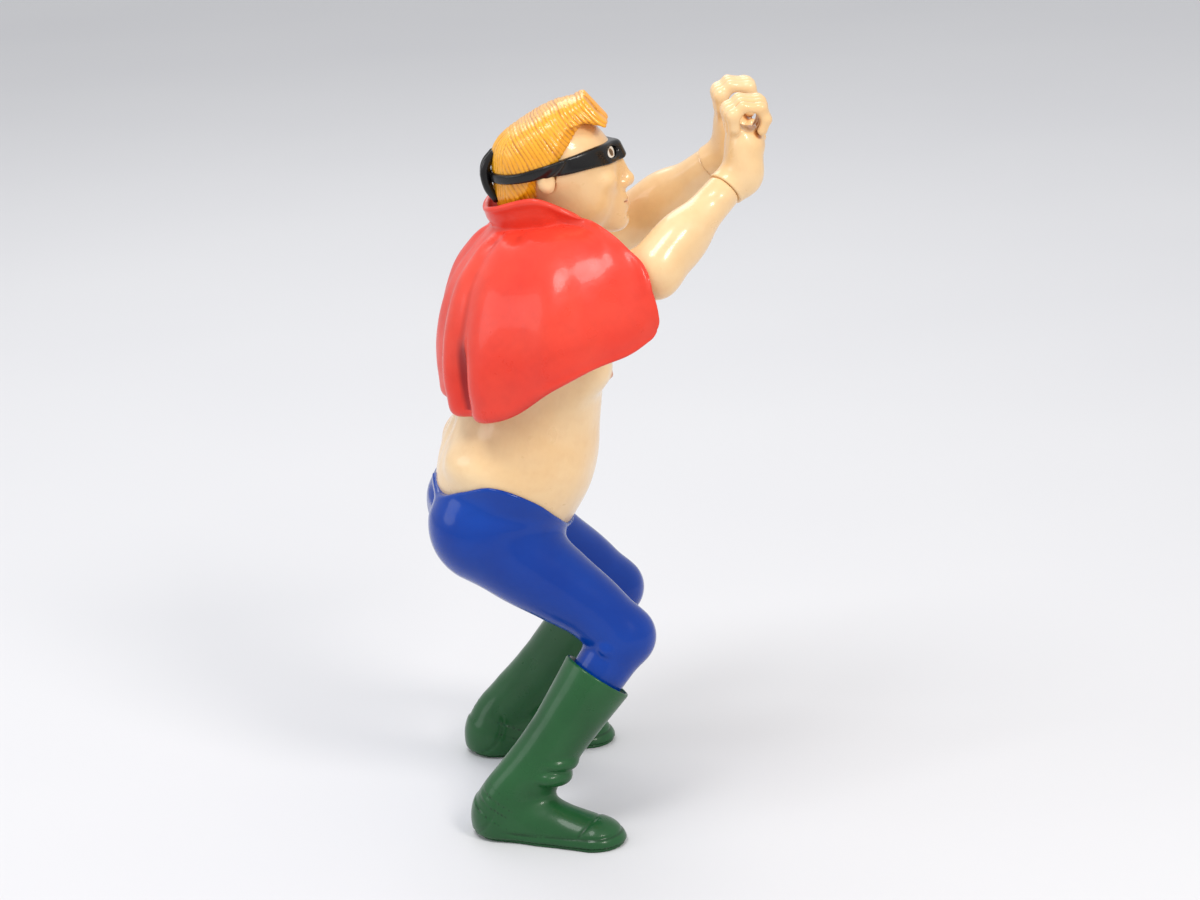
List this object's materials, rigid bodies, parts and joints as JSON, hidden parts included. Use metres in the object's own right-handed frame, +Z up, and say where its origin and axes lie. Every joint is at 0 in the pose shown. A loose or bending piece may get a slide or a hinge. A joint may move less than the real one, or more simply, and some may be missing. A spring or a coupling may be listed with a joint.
{
  "type": "caped strongman figurine",
  "caption": "Glossy painted figurine of a crouching masked strongman in a cape, tights and tall boots, whose raised hands grip a rim. Neck, shoulders and wrists swivel.",
  "frame": {"origin": "centre of the bounding box in plan, on the floor plane under the soles", "axes": "+X is the way the figure faces, +Y is its left, +Z is up"},
  "size_m": [0.1001, 0.0958, 0.2062],
  "materials": {
    "skin": "glossy peach paint",
    "hair": "glossy orange-yellow paint with combed grooves",
    "mask": "glossy black paint",
    "eye": "glossy off-white paint",
    "cape": "semi-gloss bright red paint",
    "tights": "high-gloss blue paint",
    "boot": "semi-gloss dark green paint",
    "peg": "plain moulded plastic",
    "weight": "plain metal slug"
  },
  "bodies": {
    "body": {"torso": "skin", "pelvis": "tights", "waist_peg": "peg", "cape": "cape", "collar": "cape", "right_leg": "tights", "right_hip_peg": "peg", "right_boot_peg": "peg", "right_boot": "boot", "right_sole": "boot", "right_weight": "weight", "left_leg": "tights", "left_hip_peg": "peg", "left_boot_peg": "peg", "left_boot": "boot", "left_sole": "boot", "left_weight": "weight"},
    "head": {"head": "skin", "neck_peg": "peg", "hair": "hair", "mask": "mask", "mask_knot": "mask", "right_eye": "eye", "left_eye": "eye"},
    "right_arm": {"right_arm": "skin", "right_shoulder_peg": "peg"},
    "right_hand": {"right_hand": "skin", "right_wrist_peg": "peg"},
    "left_arm": {"left_arm": "skin", "left_shoulder_peg": "peg"},
    "left_hand": {"left_hand": "skin", "left_wrist_peg": "peg"}
  },
  "joints": [
    {"name": "neck_turn", "type": "hinge", "parent": "body", "child": "head", "pos_m": [-0.0115, 0, 0.1635], "axis": [0.1392, 0, 0.9903], "range_deg": [-18, 18]},
    {"name": "right_shoulder_swing", "type": "hinge", "parent": "body", "child": "right_arm", "pos_m": [-0.009, -0.0285, 0.151], "axis": [0, 1, 0], "range_deg": [0, 45]},
    {"name": "right_wrist_turn", "type": "hinge", "parent": "right_arm", "child": "right_hand", "pos_m": [0.036, -0.0178, 0.1805], "axis": [0.6831, 0.4398, 0.5831], "range_deg": [-20, 35]},
    {"name": "left_shoulder_swing", "type": "hinge", "parent": "body", "child": "left_arm", "pos_m": [-0.009, 0.0285, 0.151], "axis": [0, 1, 0], "range_deg": [0, 45]},
    {"name": "left_wrist_turn", "type": "hinge", "parent": "left_arm", "child": "left_hand", "pos_m": [0.036, 0.0178, 0.1805], "axis": [0.6831, -0.4398, 0.5831], "range_deg": [-35, 20]}
  ]
}
